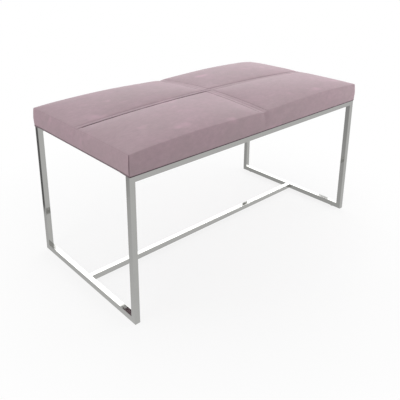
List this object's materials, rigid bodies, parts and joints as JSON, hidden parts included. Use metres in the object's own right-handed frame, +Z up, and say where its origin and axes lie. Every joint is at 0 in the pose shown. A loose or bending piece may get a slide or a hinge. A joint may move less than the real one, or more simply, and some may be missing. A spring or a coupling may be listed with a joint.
{
  "type": "upholstered bench",
  "caption": "Low backless bench: a crowned, cross-seamed upholstered seat on a sled frame of mirror-plated square tube with a floor-level stretcher.",
  "frame": {"origin": "on the floor under the middle of the bench", "axes": "+X along the bench's length to the right as seen from the front, +Y to the rear, +Z up"},
  "size_m": [0.9264, 0.4764, 0.4838],
  "materials": {
    "chrome_tube": "mirror-polished plating",
    "glide_nylon": "moulded, satin",
    "fastener_steel": "zinc-plated",
    "plywood": "bare sanded plywood",
    "dust_cloth": "matt non-woven lining matched to the cover",
    "foam": "open-cell upholstery foam",
    "fibre_pad": "white polyester fibre",
    "seat_cover": "soft matt mauve upholstery with a fine nap"
  },
  "bodies": {
    "root": {"front_left_leg": "chrome_tube", "front_right_leg": "chrome_tube", "rear_left_leg": "chrome_tube", "rear_right_leg": "chrome_tube", "front_rail": "chrome_tube", "rear_rail": "chrome_tube", "left_floor_bar": "chrome_tube", "right_floor_bar": "chrome_tube", "stretcher": "chrome_tube", "front_left_tab": "chrome_tube", "front_right_tab": "chrome_tube", "rear_left_tab": "chrome_tube", "rear_right_tab": "chrome_tube", "front_left_glide": "glide_nylon", "front_right_glide": "glide_nylon", "rear_left_glide": "glide_nylon", "rear_right_glide": "glide_nylon", "seat_bolts": "fastener_steel", "seat_washers": "fastener_steel", "tee_nuts": "fastener_steel", "seat_deck": "plywood", "dust_cover": "dust_cloth", "seat_foam": "foam", "crown_pad": "fibre_pad", "front_left_panel": "seat_cover", "front_right_panel": "seat_cover", "rear_left_panel": "seat_cover", "rear_right_panel": "seat_cover", "front_band": "seat_cover", "rear_band": "seat_cover", "left_band": "seat_cover", "right_band": "seat_cover"}
  },
  "joints": []
}
